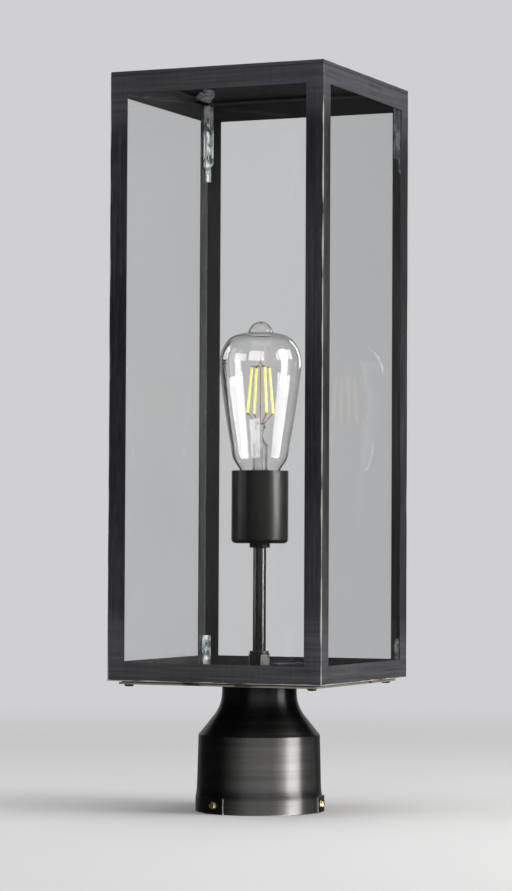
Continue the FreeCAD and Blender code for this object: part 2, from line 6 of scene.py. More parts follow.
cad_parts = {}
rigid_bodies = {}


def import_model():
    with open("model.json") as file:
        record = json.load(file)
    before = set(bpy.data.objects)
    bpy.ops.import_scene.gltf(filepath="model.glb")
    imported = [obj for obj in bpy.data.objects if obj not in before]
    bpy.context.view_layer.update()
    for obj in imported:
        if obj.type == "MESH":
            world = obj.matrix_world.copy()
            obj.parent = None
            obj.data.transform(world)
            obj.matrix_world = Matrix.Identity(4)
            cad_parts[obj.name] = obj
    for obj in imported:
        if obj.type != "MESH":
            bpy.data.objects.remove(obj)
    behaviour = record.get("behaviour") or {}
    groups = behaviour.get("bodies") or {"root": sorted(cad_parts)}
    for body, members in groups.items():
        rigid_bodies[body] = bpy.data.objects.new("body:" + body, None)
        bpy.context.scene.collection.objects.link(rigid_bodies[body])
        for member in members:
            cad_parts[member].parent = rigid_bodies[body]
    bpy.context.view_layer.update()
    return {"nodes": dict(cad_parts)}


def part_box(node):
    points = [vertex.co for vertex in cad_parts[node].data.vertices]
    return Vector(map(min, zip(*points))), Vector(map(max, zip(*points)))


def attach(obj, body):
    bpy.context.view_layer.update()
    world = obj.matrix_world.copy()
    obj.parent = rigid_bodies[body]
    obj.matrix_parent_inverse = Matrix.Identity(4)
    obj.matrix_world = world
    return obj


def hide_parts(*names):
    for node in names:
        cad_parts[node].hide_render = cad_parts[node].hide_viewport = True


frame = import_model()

nodes = frame["nodes"]
scene = bpy.context.scene
mm = 0.001

# ---------------------------------------------------------------- post fitter
# A bell turned from steel, that slips over the top of a round post, blackened and waxed so that
# the fine turning lines still show. Three flat pads on its foot band take the set screws.

bell_neck = 29.0
bell_top = 99.6
neck_round = 0.6
flare_start = 92.5
flare_radius = 30.0
flare_turn = 40
shoulder = (47.2, 59.9)
shoulder_round = 1.5
skirt = (48.2, 20.0)
foot_band = (49.3, 11.0)
foot_round = 0.7
post_bore = 44.0
ledge_height = 50.0
ledge_bore = 39.5
inner_wall = 25.0
web_bottom = 94.6
pipe_hole = 5.15
pad_face = 50.0
pad_size = (20.4, 12.8)
set_screw_turns = (-111.0, 9.0, 129.0)
set_screw_height = 7.0
set_screw_hole = 3.08
weld = 0.002 * mm


def pick(piece):
    """Selects one object and nothing else."""
    if bpy.context.mode != "OBJECT":
        bpy.ops.object.mode_set(mode="OBJECT")
    bpy.ops.object.select_all(action="DESELECT")
    if piece:
        piece.select_set(True)
        bpy.context.view_layer.objects.active = piece


def drawn(name, points):
    """Draws a line through points in mm, one after the other, and leaves it selected in edit mode."""
    pick(None)
    bpy.ops.mesh.primitive_plane_add(size=mm)
    piece = bpy.context.object
    piece.name = name
    bpy.ops.object.mode_set(mode="EDIT")
    bpy.ops.mesh.select_all(action="SELECT")
    bpy.ops.mesh.merge(type="CENTER")
    here = Vector((0, 0, 0))
    for number, point in enumerate(points):
        there = Vector(point) * mm
        if number == 0:
            bpy.ops.transform.translate(value=there - here)
        else:
            bpy.ops.mesh.extrude_region_move(TRANSFORM_OT_translate={"value": there - here})
        here = there
    bpy.ops.mesh.select_all(action="SELECT")
    return piece


def turned(name, outline, steps, smooth=35):
    """Draws an outline of (radius, height) in mm, and spins it round the axis."""
    piece = drawn(name, [(radius, 0, height) for radius, height in outline])
    bpy.ops.mesh.remove_doubles(threshold=weld / 2)
    bpy.ops.mesh.spin(steps=steps, angle=2 * pi, center=(0, 0, 0), axis=(0, 0, 1))
    tidy_shell(piece, smooth)
    return piece


def tidy_shell(piece, smooth):
    """Merges doubled points, turns the faces outwards and smooths all but the real edges."""
    pick(piece)
    bpy.ops.object.mode_set(mode="EDIT")
    bpy.ops.mesh.select_all(action="SELECT")
    bpy.ops.mesh.remove_doubles(threshold=weld)
    bpy.ops.mesh.normals_make_consistent(inside=False)
    bpy.ops.object.mode_set(mode="OBJECT")
    bpy.ops.object.shade_smooth_by_angle(angle=radians(smooth))


def swept(centre, radius, start, end, count):
    """Points of an arc in an outline; angles in degrees from straight out."""
    turns = [radians(start + (end - start) * step / count) for step in range(count + 1)]
    return [(centre[0] + radius * cos(turn), centre[1] + radius * sin(turn)) for turn in turns]


def joined(piece, tool, operation):
    """Adds one mesh to another, or cuts it out of it, and throws the tool away."""
    pick(piece)
    change = piece.modifiers.new("shape", "BOOLEAN")
    change.operation = operation
    change.solver = "EXACT"
    change.object = tool
    bpy.ops.object.modifier_apply(modifier=change.name)
    bpy.data.objects.remove(tool)


def softened(piece, width, segments=2, angle=35, limit="ANGLE"):
    """Rounds edges over with a bevel: those sharper than the angle, or those with a weight."""
    pick(piece)
    bevel = piece.modifiers.new("rounding", "BEVEL")
    bevel.width = width * mm
    bevel.segments = segments
    bevel.limit_method = limit
    bevel.angle_limit = radians(angle)
    bpy.ops.object.modifier_apply(modifier=bevel.name)
    bpy.ops.object.shade_smooth_by_angle(angle=radians(38))
    return piece


def block(name, low, high):
    """A box between two corners in mm, its place in its mesh."""
    pick(None)
    middle = (Vector(low) + Vector(high)) / 2 * mm
    bpy.ops.mesh.primitive_cube_add(size=1)
    piece = bpy.context.object
    piece.name = name
    size = (Vector(high) - Vector(low)) * mm
    piece.data.transform(Matrix.Translation(middle) @ Matrix.Diagonal(size).to_4x4())
    return piece


def fitted(piece, material, body, slot, *replaced):
    """Gives a finished piece its material and its body, and hides the nodes that it stands for; slot is not used."""
    piece.data.materials.clear()
    piece.data.materials.append(material)
    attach(piece, body)
    if replaced:
        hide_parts(*replaced)


def wired(tree, kind, sockets=(), **settings):
    """Adds a node with these settings, and gives each socket its link or its plain value."""
    node = tree.nodes.new(f"ShaderNode{kind}")
    for setting, value in settings.items():
        setattr(node, setting, value)
    for socket, value in dict(sockets).items():
        if isinstance(value, bpy.types.NodeSocket):
            tree.links.new(value, node.inputs[socket])
        else:
            node.inputs[socket].default_value = value
    return node


def new_group(name, numbers, results):
    """An empty node group that takes a place and some numbers, with its inner ends."""
    tree = bpy.data.node_groups.new(name, "ShaderNodeTree")
    tree.interface.new_socket("Place", in_out="INPUT", socket_type="NodeSocketVector")
    for socket in numbers:
        tree.interface.new_socket(socket, in_out="INPUT", socket_type="NodeSocketFloat")
    for socket in results:
        tree.interface.new_socket(socket, in_out="OUTPUT", socket_type="NodeSocketFloat")
    return tree, tree.nodes.new("NodeGroupInput").outputs, tree.nodes.new("NodeGroupOutput").inputs


def grain_group():
    """Shared unevenness of a worked surface: broad clouds, fine specks and a height for relief."""
    tree, given, result = new_group("worked_surface", ("Clouds", "Specks"), ("Cloud", "Speck", "Height"))
    fields = []
    for scale, detail, mask, low, high in (("Clouds", 5.0, "Cloud", 0.34, 0.66),
                                           ("Specks", 3.0, "Speck", 0.45, 0.72)):
        field = wired(tree, "TexNoise", {"Vector": given["Place"], "Scale": given[scale], "Detail": detail})
        fields.append(field.outputs["Fac"])
        spread = wired(tree, "MapRange", {"Value": fields[-1], "From Min": low, "From Max": high},
                       interpolation_type="SMOOTHSTEP")
        tree.links.new(spread.outputs["Result"], result[mask])
    speck_height = 0.35
    total = wired(tree, "Math", {0: fields[1], 1: speck_height, 2: fields[0]}, operation="MULTIPLY_ADD")
    tree.links.new(total.outputs[0], result["Height"])
    return tree


worked_surface = grain_group()


def finish(name, dark, light, rough, clouds=40.0, specks=900.0, stretch=(1, 1, 1), relief=(0.15, 0.2), flecks=0.5,
           **fixed):
    """A surface between two colours and two roughnesses, laid out by the shared grain.

    relief is the bump's strength and its depth in mm, fixed are plain values for the shader.
    """
    material = bpy.data.materials.new(name)
    material.use_nodes = True
    tree = material.node_tree
    shader = tree.nodes["Principled BSDF"]
    for socket, value in fixed.items():
        shader.inputs[socket.replace("_", " ")].default_value = value
    where = wired(tree, "TexCoord", name="where")
    mapping = wired(tree, "Mapping", {"Vector": where.outputs["Object"], "Scale": stretch})
    grain = wired(tree, "Group", node_tree=worked_surface, name="grain")
    tree.links.new(mapping.outputs[0], grain.inputs["Place"])
    grain.inputs["Clouds"].default_value = clouds
    grain.inputs["Specks"].default_value = specks
    share = wired(tree, "Math", {0: grain.outputs["Speck"], 1: flecks, 2: grain.outputs["Cloud"]},
                  operation="MULTIPLY_ADD", use_clamp=True)
    colour = wired(tree, "Mix", {0: share.outputs[0], 6: (*dark, 1), 7: (*light, 1)}, data_type="RGBA", name="colour")
    tree.links.new(colour.outputs[2], shader.inputs["Base Color"])
    gloss = wired(tree, "MapRange", {"Value": share.outputs[0], "To Min": rough[0], "To Max": rough[1]})
    tree.links.new(gloss.outputs[0], shader.inputs["Roughness"])
    bump = wired(tree, "Bump", {"Height": grain.outputs["Height"], "Strength": relief[0], "Distance": relief[1] * mm})
    tree.links.new(bump.outputs[0], shader.inputs["Normal"])
    return material


turned_black = finish("turned_black_steel", (0.054, 0.0535, 0.054), (0.090, 0.089, 0.088), (0.28, 0.35), clouds=16.0,
                      specks=420.0, stretch=(0.10, 0.10, 6.0), relief=(0.10, 0.08), flecks=0.4, Metallic=1.0,
                      Anisotropic=0.85, Anisotropic_Rotation=0.25)

flare_centre = (bell_neck + flare_radius, flare_start)
bell_outline = [(pipe_hole, bell_top), (bell_neck - neck_round, bell_top)]
bell_outline += swept((bell_neck - neck_round, bell_top - neck_round), neck_round, 80, 0, 4)
bell_outline += swept(flare_centre, flare_radius, 180, 180 + flare_turn, 18)
bell_outline += swept((shoulder[0] - shoulder_round, shoulder[1] - 1.1), shoulder_round, 44, 2, 6)
bell_outline += [(47.75, 38.0), skirt, (48.32, 17.6), (48.6, 15.2), (48.95, 13.0), (49.2, 11.7), foot_band]
bell_outline += [(foot_band[0], 0.8)] + swept((foot_band[0] - foot_round, foot_round), foot_round, 0, -90, 3)
bell_outline += [(post_bore + 0.5, 0.0), (post_bore, 0.5), (post_bore, ledge_height), (ledge_bore, ledge_height)]
bell_outline += [(ledge_bore, 56.4), (32.0, 71.2), (inner_wall, 88.5), (inner_wall, web_bottom)]
bell_outline += [(pipe_hole, web_bottom), (pipe_hole, bell_top)]
bell = turned("fitter_bell", bell_outline, 144)

for turn in set_screw_turns:
    pad = block("pad", (post_bore + 1.5, -pad_size[0] / 2, 0.05), (pad_face, pad_size[0] / 2, pad_size[1]))
    softened(pad, 0.55, 3)
    pad.data.transform(Matrix.Rotation(radians(turn), 4, "Z"))
    joined(bell, pad, "UNION")
for turn in set_screw_turns:
    pick(None)
    bpy.ops.mesh.primitive_cylinder_add(vertices=48, radius=set_screw_hole * mm, depth=12 * mm)
    hole = bpy.context.object
    hole.data.transform(Matrix.Rotation(radians(turn), 4, "Z")
                        @ Matrix.Translation(Vector((47, 0, set_screw_height)) * mm)
                        @ Matrix.Rotation(pi / 2, 4, "Y"))
    joined(bell, hole, "DIFFERENCE")
tidy_shell(bell, 30)
fitted(bell, turned_black, "base", "fitter_paint", "fitter")

# ---------------------------------------------------------------- set screws
# Three headless M6 screws of yellow-passivated steel, slotted, that clamp the fitter to the post.
# The thread is rolled, and the driven end has gone dark, with the plating left in bright patches.

set_screw_reach = (44.0, 52.0)
set_screw_radius = 3.0
thread_depth = 0.34
thread_pitch = 1.0
slot_width = 0.9
slot_depth = 1.2


def thread(radius, low, high, pitch, depth):
    """Outline of a rolled thread between two heights, crest and root turn by turn."""
    points = []
    turns = int((high - low) / pitch)
    step = (high - low) / turns
    for number in range(turns):
        base = low + step * number
        points += [(radius - depth, base + 0.1 * step), (radius, base + 0.42 * step), (radius, base + 0.58 * step),
                   (radius - depth, base + 0.9 * step)]
    return points


def copied(source, name, place):
    """A copy with a mesh of its own, moved to its place inside that mesh."""
    one = bpy.data.objects.new(name, source.data.copy())
    scene.collection.objects.link(one)
    one.data.transform(place)
    return one


worn_zinc = finish("worn_zinc", (0.04, 0.037, 0.033), (0.62, 0.50, 0.28), (0.25, 0.45), clouds=260.0, specks=1500.0,
                   relief=(0.2, 0.1), flecks=0.25, Metallic=1.0)

start, stop = set_screw_reach
outline = [(0, start), (2.0, start), (2.4, start + 0.25)]
outline += thread(set_screw_radius, start + 0.7, stop - 0.4, thread_pitch, thread_depth)
outline += [(2.75, stop - 0.3), (2.5, stop), (0, stop)]
screw = turned("set_screw", outline, 48)
slot = block("slot", (-4, -slot_width / 2, stop - slot_depth), (4, slot_width / 2, stop + 1))
slot.data.transform(Matrix.Rotation(radians(35), 4, "Z"))
joined(screw, slot, "DIFFERENCE")
tidy_shell(screw, 30)
screw.data.transform(Matrix.Translation(Vector((0, 0, set_screw_height)) * mm) @ Matrix.Rotation(pi / 2, 4, "Y"))
for number, turn in enumerate(set_screw_turns, 1):
    one = copied(screw, f"slotted_screw_{number}", Matrix.Rotation(radians(turn), 4, "Z"))
    fitted(one, worn_zinc, f"set_screw_{number}", "zinc_steel", f"set_screw_{number}")
bpy.data.objects.remove(screw)

# ---------------------------------------------------------------- base plate and gasket
# A guillotined steel plate that carries the cage, painted charcoal like it, and under the cage
# a strip of black foam that keeps water out. From outside the foam is only a dark line.


def copy_of(node, name):
    """A piece with the node's own shape, its loose triangles merged back into whole faces."""
    piece = bpy.data.objects.new(name, nodes[node].data.copy())
    scene.collection.objects.link(piece)
    pick(piece)
    bpy.ops.object.mode_set(mode="EDIT")
    bpy.ops.mesh.select_all(action="SELECT")
    bpy.ops.mesh.remove_doubles(threshold=weld)
    bpy.ops.mesh.dissolve_limited(angle_limit=radians(0.4))
    bpy.ops.object.mode_set(mode="OBJECT")
    if piece.data.has_custom_normals:
        bpy.ops.mesh.customdata_custom_splitnormals_clear()
    return piece


def edge_wear_group():
    """Where paint is rubbed off a square box's outer edges: 1 on the edge, patchy along it."""
    tree, given, result = new_group("rubbed_edges", ("Half", "Low", "High", "Width"), ("Rubbed",))

    def sum_of(operation, *parts):
        return wired(tree, "Math", enumerate(parts), operation=operation).outputs[0]

    axes = wired(tree, "SeparateXYZ", {0: given["Place"]})
    from_x = sum_of("SUBTRACT", given["Half"], sum_of("ABSOLUTE", axes.outputs[0]))
    from_y = sum_of("SUBTRACT", given["Half"], sum_of("ABSOLUTE", axes.outputs[1]))
    from_low = sum_of("SUBTRACT", axes.outputs[2], given["Low"])
    from_high = sum_of("SUBTRACT", given["High"], axes.outputs[2])
    side = sum_of("MINIMUM", from_x, from_y)
    upright = sum_of("MAXIMUM", from_x, from_y)
    level = sum_of("MINIMUM", sum_of("MAXIMUM", side, from_low), sum_of("MAXIMUM", side, from_high))
    edge = sum_of("MINIMUM", upright, level)
    mapping = wired(tree, "Mapping", {"Vector": given["Place"], "Scale": (1, 1, 0.5)})
    patches = wired(tree, "TexNoise", {"Vector": mapping.outputs[0], "Scale": 45.0, "Detail": 7.0})
    reach = wired(tree, "MapRange", {"Value": patches.outputs["Fac"], "From Min": 0.38, "From Max": 0.66,
                                     "To Min": 0.1, "To Max": 1.5})
    near = sum_of("DIVIDE", edge, sum_of("MULTIPLY", reach.outputs[0], given["Width"]))
    fade = wired(tree, "MapRange", {"Value": near, "From Min": 0.6, "From Max": 1.15, "To Min": 1.0, "To Max": 0.0},
                 interpolation_type="SMOOTHSTEP")
    tree.links.new(fade.outputs[0], result["Rubbed"])
    return tree


rubbed_edges = edge_wear_group()


def edge_worn_paint(name, half, low, high, width, bright, dark, light):
    """The charcoal paint, rubbed to bare steel along the outer edges of a box of that size."""
    material = finish(name, dark, light, (0.46, 0.66), clouds=14.0, specks=260.0, stretch=(1, 1, 0.4),
                      relief=(0.12, 0.3), flecks=0.35, Specular_IOR_Level=0.35)
    tree = material.node_tree
    worn = wired(tree, "Group", node_tree=rubbed_edges)
    tree.links.new(tree.nodes["where"].outputs["Object"], worn.inputs["Place"])
    for socket, value in (("Half", half), ("Low", low), ("High", high), ("Width", width * mm)):
        worn.inputs[socket].default_value = value
    bare = wired(tree, "Mix", {0: worn.outputs["Rubbed"], 6: tree.nodes["colour"].outputs[2], 7: (*bright, 1)},
                 data_type="RGBA", name="bare")
    tree.links.new(bare.outputs[2], tree.nodes["Principled BSDF"].inputs["Base Color"])
    return material


plate_low, plate_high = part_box("base_plate")
plate_paint = edge_worn_paint("plate_paint", plate_high.x, plate_low.z, plate_high.z, 1.6, (0.34, 0.29, 0.22),
                              (0.030, 0.030, 0.031), (0.07, 0.066, 0.060))
base_sheet = softened(copy_of("base_plate", "base_sheet"), 0.25)
fitted(base_sheet, plate_paint, "base", "frame_paint", "base_plate")

foam = finish("black_foam", (0.003, 0.003, 0.003), (0.012, 0.012, 0.012), (0.8, 0.95), specks=1600.0,
              relief=(0.6, 0.3))


def dressed(node, material):
    """Leaves a CAD node as it is and gives it its finish."""
    mesh = nodes[node].data
    mesh.materials.clear()
    mesh.materials.append(material)


dressed("base_gasket", foam)

# ---------------------------------------------------------------- base screws
# Four pan-head M4 screws with cross slots, blackened steel, driven up through the plate's
# corners into the gussets inside the cage.

base_screw_place = 75.8
base_screw_radius = 2.0
base_screw_pitch = 0.7
base_screw_tip = 106.9
plate_bottom = 99.6
head_radius = 3.5
head_height = 1.8
recess_reach = 2.17
recess_width = 0.9
recess_depth = 0.8

screw_black = finish("blackened_steel", (0.010, 0.010, 0.010), (0.06, 0.056, 0.05), (0.35, 0.5), clouds=300.0,
                     specks=1500.0, relief=(0.2, 0.08), Metallic=0.35)
crown = plate_bottom - head_height
outline = [(0, crown), (1.9, crown), (2.5, crown + 0.08), (2.95, crown + 0.22), (3.3, crown + 0.45),
           (head_radius, crown + 0.75), (head_radius, plate_bottom - 0.1), (head_radius - 0.1, plate_bottom),
           (base_screw_radius, plate_bottom), (base_screw_radius, plate_bottom + 1.6)]
outline += thread(base_screw_radius, plate_bottom + 1.7, base_screw_tip - 0.4, base_screw_pitch, 0.24)
outline += [(1.5, base_screw_tip), (0, base_screw_tip)]
screw = turned("pan_head", outline, 40)
for x, y in ((recess_reach, recess_width / 2), (recess_width / 2, recess_reach)):
    joined(screw, block("recess", (-x, -y, crown - 1), (x, y, crown + recess_depth)), "DIFFERENCE")
tidy_shell(screw, 30)
for number, (x, y) in enumerate(((-1, -1), (1, -1), (1, 1), (-1, 1)), 1):
    one = copied(screw, f"pan_head_screw_{number}", Matrix.Translation(Vector((x, y, 0)) * base_screw_place * mm)
                 @ Matrix.Rotation(radians(37 * number), 4, "Z"))
    fitted(one, screw_black, f"base_screw_{number}", "screw_black", f"base_screw_{number}")
bpy.data.objects.remove(screw)

# ---------------------------------------------------------------- nipple, lock nut and bushing
# Threaded lamp pipe through the fitter's web and the plate, with a plated lock nut and washer
# under the web and a nylon bushing where the supply leads go in.

plated = finish("zinc_plate", (0.32, 0.32, 0.30), (0.58, 0.57, 0.54), (0.25, 0.42), clouds=150.0, specks=900.0,
                relief=(0.12, 0.1), Metallic=1.0)
nylon = finish("bushing_nylon", (0.015, 0.015, 0.016), (0.03, 0.03, 0.032), (0.38, 0.5), specks=700.0)

pipe_bore = 3.6
pipe_radius = 5.1
pipe_pitch = 0.94
low, high = 82.6, 110.6
outline = [(pipe_bore, low), (4.6, low)] + thread(pipe_radius, low + 0.3, high - 0.3, pipe_pitch, 0.3)
outline += [(4.6, high), (pipe_bore, high), (pipe_bore, low)]
pipe = turned("threaded_pipe", outline, 48)
fitted(pipe, plated, "base", "zinc_steel", "nipple")
for node, name in (("lock_washer", "spring_washer"), ("lock_nut", "pipe_nut")):
    fitted(softened(copy_of(node, name), 0.12, 1, 50), plated, "base", "zinc_steel", node)
dressed("wire_bushing", nylon)

# ---------------------------------------------------------------- stem
# Brass lamp pipe enamelled gloss black, screwed into a hexagon coupler with a thin lock ring
# on top. The enamel is thick and a little rough on the coupler, smooth on the pipe.

stem_gloss = finish("gloss_black_enamel", (0.006, 0.006, 0.0065), (0.009, 0.0085, 0.008), (0.13, 0.17), clouds=30.0,
                    specks=800.0, relief=(0.05, 0.08), IOR=1.48, Coat_Weight=1.0, Coat_Roughness=0.08)
coupler_black = finish("coupler_enamel", (0.008, 0.008, 0.008), (0.016, 0.015, 0.014), (0.30, 0.46), clouds=190.0,
                       specks=900.0, relief=(0.5, 0.4), IOR=1.4, Coat_Weight=0.15, Coat_Roughness=0.2)

coupler = softened(copy_of("stem_coupler", "hexagon_coupler"), 0.35, 2, 28)
fitted(coupler, coupler_black, "base", "stem_black", "stem_coupler")
ring_low = 122.0
outline = [(pipe_hole, ring_low), (7.1, ring_low), (7.45, ring_low + 0.35), (7.45, ring_low + 1.6),
           (7.2, ring_low + 2.0), (6.9, ring_low + 2.1), (pipe_hole, ring_low + 2.1), (pipe_hole, ring_low)]
fitted(turned("lock_ring", outline, 72), coupler_black, "base", "stem_black", "stem_lock_ring")
low, high = 111.1, 213.1
outline = [(pipe_bore, low), (pipe_radius, low), (pipe_radius, high - 0.4), (4.8, high), (pipe_bore, high),
           (pipe_bore, low)]
fitted(turned("stem_pipe", outline, 72), stem_gloss, "base", "stem_black", "stem_tube")

# ---------------------------------------------------------------- socket cup
# A cup spun from thin sheet with a rolled bottom edge, enamelled black inside and out. It sits
# on a turned ring and is held down by a nut inside.

cup_bottom = 207.7
cup_height = 56.6
cup_radius = 22.15
cup_roll = 3.5
cup_wall = 1.0

cup_black = finish("cup_enamel", (0.007, 0.007, 0.0075), (0.011, 0.0105, 0.010), (0.30, 0.34), clouds=18.0,
                   specks=700.0, stretch=(1, 1, 0.6), relief=(0.03, 0.06), IOR=1.42, Coat_Weight=0.1,
                   Coat_Roughness=0.2)
seat_radius = 7.5
ring_low = cup_bottom - 3.4
outline = [(pipe_hole, ring_low), (seat_radius, ring_low)] + swept((seat_radius, ring_low + 0.5), 0.5, -80, 0, 3)
outline += swept((seat_radius, cup_bottom - 0.5), 0.5, 0, 80, 3)
outline += [(7.4, cup_bottom), (pipe_hole, cup_bottom), (pipe_hole, ring_low)]
fitted(turned("cup_seat_ring", outline, 72), coupler_black, "base", "stem_black", "cup_ring")
turn_centre = (cup_radius - cup_roll, cup_bottom + cup_roll)
lip = cup_bottom + cup_height - 0.5
outline = [(pipe_hole, cup_bottom), (12.0, cup_bottom)] + swept(turn_centre, cup_roll, -90, 0, 10)
outline += [(cup_radius, lip)] + swept((cup_radius - 0.5, lip), 0.5, 0, 180, 6)
outline += [(cup_radius - cup_wall, lip)] + swept(turn_centre, cup_roll - cup_wall, 0, -90, 8)
outline += [(pipe_hole, cup_bottom + cup_wall), (pipe_hole, cup_bottom)]
fitted(turned("spun_cup", outline, 144), cup_black, "base", "cup_black", "socket_cup")

# ---------------------------------------------------------------- lamp holder
# A porcelain body with a stepped rim, a rolled brass screw shell and a sprung contact, on a
# steel strap. Two brass terminal screws hold the leads.

glaze = finish("porcelain_glaze", (0.66, 0.65, 0.61), (0.76, 0.75, 0.71), (0.12, 0.2), clouds=30.0, specks=500.0,
               relief=(0.08, 0.1), Coat_Weight=0.5, Coat_Roughness=0.08)
holder_low, holder_top, shell_floor = 213.3, 256.3, 227.7
outline = [(6.1, holder_low), (18.0, holder_low), (18.45, holder_low + 0.2), (18.6, holder_low + 0.7),
           (18.6, holder_top - 5.3), (18.9, holder_top - 5.0), (19.7, holder_top - 5.0), (20.1, holder_top - 4.8),
           (20.2, holder_top - 4.4), (20.2, holder_top - 0.8), (19.9, holder_top - 0.2), (19.3, holder_top),
           (14.2, holder_top), (13.8, holder_top - 0.2), (13.65, holder_top - 0.6), (13.65, shell_floor),
           (0, shell_floor), (0, shell_floor - 3.0), (6.1, shell_floor - 3.0), (6.1, holder_low)]
fitted(turned("porcelain_body", outline, 96), glaze, "base", "porcelain", "holder_body")
brass = finish("worn_brass", (0.42, 0.28, 0.10), (0.68, 0.48, 0.20), (0.2, 0.4), clouds=120.0, specks=900.0,
               relief=(0.15, 0.1), Metallic=1.0)
fitted(softened(copy_of("cup_nut", "cup_hold_nut"), 0.12, 1, 50), plated, "base", "zinc_steel", "cup_nut")
fitted(softened(copy_of("holder_bracket", "holder_strap"), 0.2, 1, 50), plated, "base", "zinc_steel",
       "holder_bracket")
for node in ("screw_shell", "centre_contact", "terminal_screws"):
    dressed(node, brass)

# ---------------------------------------------------------------- bulb cap
# The bulb's nickel-plated screw cap with its rolled thread, a black glass insulator pressed
# into its end and a soldered button on that.

cap_low, cap_rim = 235.55, 258.05
cap_lead = 3.63
cap_radius = 12.72
cap_wave = 0.36
cap_collar = 13.05
collar_height = 2.5
nickel = finish("cap_nickel", (0.50, 0.48, 0.44), (0.72, 0.70, 0.66), (0.16, 0.3), clouds=90.0, specks=900.0,
                relief=(0.08, 0.08), Metallic=1.0)
cap_glass = finish("black_glass", (0.006, 0.006, 0.007), (0.012, 0.012, 0.014), (0.1, 0.2), Coat_Weight=0.5)
rise = cap_rim - cap_low
outline = [(12.1, cap_low)] + [(12.6, cap_low + rise * step / 60) for step in range(1, 60)]
outline += [(13.1, cap_rim), (12.6, cap_rim), (12.0, cap_rim - 1), (11.7, cap_low + 0.5), (12.1, cap_low)]
cap = turned("screw_cap", outline, 72, 60)
for vertex in cap.data.vertices:
    place = vertex.co
    height = place.z / mm
    radius = hypot(place.x, place.y) / mm
    if radius <= 12.3 or height <= cap_low + 0.1:
        continue
    around = place.to_2d().angle_signed(Vector((1, 0))) / (2 * pi)
    wave = cap_radius + cap_wave * cos(2 * pi * (height / cap_lead - around))
    if height >= cap_rim - collar_height:
        wave = cap_collar
    place.x *= wave / radius
    place.y *= wave / radius
cap.data.update()
fitted(cap, nickel, "bulb", "cap_nickel", "bulb_cap")
dressed("bulb_insulator", cap_glass)
fitted(softened(copy_of("bulb_button", "solder_button"), 0.35, 2, 50), plated, "bulb", "zinc_steel", "bulb_button")

# ---------------------------------------------------------------- bulb glass
# A clear pear blown in a mould, with a flat crown and the pip where the pump tube was sealed
# off. Inside stands a glass foot with a flared skirt, a tube and the bead that holds the wires.

glass_wall = 0.8
pear_side = [(12.8, 0), (15.6, 6.8), (20.9, 15.6), (23.3, 28.4), (26.8, 48.3), (30.7, 76.4), (32.0, 90.0)]
pear_crown = [(32.0, 90.0), (29.28, 102.3), (23.04, 110.2), (16.0, 113.0), (9.92, 113.9)]
pear_pip = [(9.92, 113.9), (8.53, 117.5), (5.46, 121.2), (0, 123.0)]


def flowing(points, start, end, parts):
    """Smooth outline through the points, with its direction given at both ends."""
    tangents = []
    for number, point in enumerate(points):
        if number == 0:
            direction = Vector(start)
        elif number == len(points) - 1:
            direction = Vector(end)
        else:
            before, after = Vector(points[number - 1]), Vector(points[number + 1])
            here = Vector(point)
            gone, coming = (here - before).length, (after - here).length
            direction = (here - before) / gone * coming + (after - here) / coming * gone
        tangents.append(direction.normalized())
    line = []
    for number in range(len(points) - 1):
        first, last = Vector(points[number]), Vector(points[number + 1])
        span = (last - first).length
        for step in range(parts):
            t = step / parts
            line.append((2 * t ** 3 - 3 * t ** 2 + 1) * first + (t ** 3 - 2 * t ** 2 + t) * span * tangents[number]
                        + (3 * t ** 2 - 2 * t ** 3) * last + (t ** 3 - t ** 2) * span * tangents[number + 1])
    return [tuple(point) for point in line] + [tuple(points[-1])]


def clear_glass(name, tint, seen_through, relief=(0.02, 0.4), specks=60.0, straight=0.0):
    """Glass that lets the lamps' light through, and a share of what is behind it straight."""
    material = finish(name, tint, tuple(min(1, part * 1.01) for part in tint), (0.0, 0.012), clouds=12.0,
                      specks=specks, relief=relief, flecks=0.2, IOR=1.5, Transmission_Weight=1.0)
    tree = material.node_tree
    shader = tree.nodes["Principled BSDF"]
    clear = wired(tree, "BsdfTransparent", {0: (*seen_through, 1)})
    path = wired(tree, "LightPath")
    unbent = wired(tree, "Math", {0: path.outputs["Is Shadow Ray"], 1: straight}, operation="MAXIMUM")
    choice = wired(tree, "MixShader", {0: unbent.outputs[0], 1: shader.outputs[0], 2: clear.outputs[0]})
    tree.links.new(choice.outputs[0], tree.nodes["Material Output"].inputs["Surface"])
    return material


bulb_clear = clear_glass("bulb_glass", (0.985, 0.985, 0.98), (0.95, 0.95, 0.945))
outer = flowing(pear_side, (0.3, 1), (0, 1), 7) + flowing(pear_crown, (0, 1), (-1, 0.06), 7)[1:]
outer += flowing(pear_pip, (-0.35, 1), (-1, 0), 5)[1:]
inner = []
for number, (radius, height) in enumerate(outer):
    before = Vector(outer[max(number - 1, 0)])
    after = Vector(outer[min(number + 1, len(outer) - 1)])
    along = (after - before).normalized()
    inner.append((max(radius - glass_wall * along.y, 0), height + glass_wall * along.x))
inner[0] = (12.0, 0)
inner[-1] = (0, outer[-1][1] - 2.2)
outline = [(radius, cap_rim + height) for radius, height in outer + inner[::-1] + outer[:1]]
fitted(turned("pear_glass", outline, 128, 50), bulb_clear, "bulb", "bulb_glass", "bulb_envelope")

foot_edge = 11.9
foot_tube = 5.6
foot_wall = 0.7
pump_tube = 2.4
bead_radius, bead_height = 3.6, 40.0
pressed_from = 25.5

